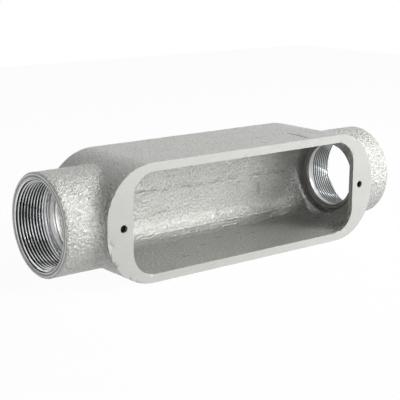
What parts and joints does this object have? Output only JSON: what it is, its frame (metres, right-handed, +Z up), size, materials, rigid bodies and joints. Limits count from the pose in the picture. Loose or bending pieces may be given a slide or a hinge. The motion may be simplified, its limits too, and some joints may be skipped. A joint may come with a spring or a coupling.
{
  "type": "conduit body",
  "caption": "Straight-through conduit body, cast in one piece: open trough with a ground gasket face, cover-screw holes and a threaded hub at each end.",
  "frame": {"origin": "middle of the two cover screws, on the ground gasket face", "axes": "+X along the conduit run from hub to hub, +Y from the gasket face into the body, +Z up; the body lies on its lower long side"},
  "size_m": [0.289, 0.075, 0.0792],
  "materials": {
    "casting": "malleable iron, zinc plated, silver-grey lacquer over the as-cast surface; gasket face ground flat, threads cut after casting"
  },
  "bodies": {
    "root": {"conduit_body": "casting"}
  },
  "joints": []
}
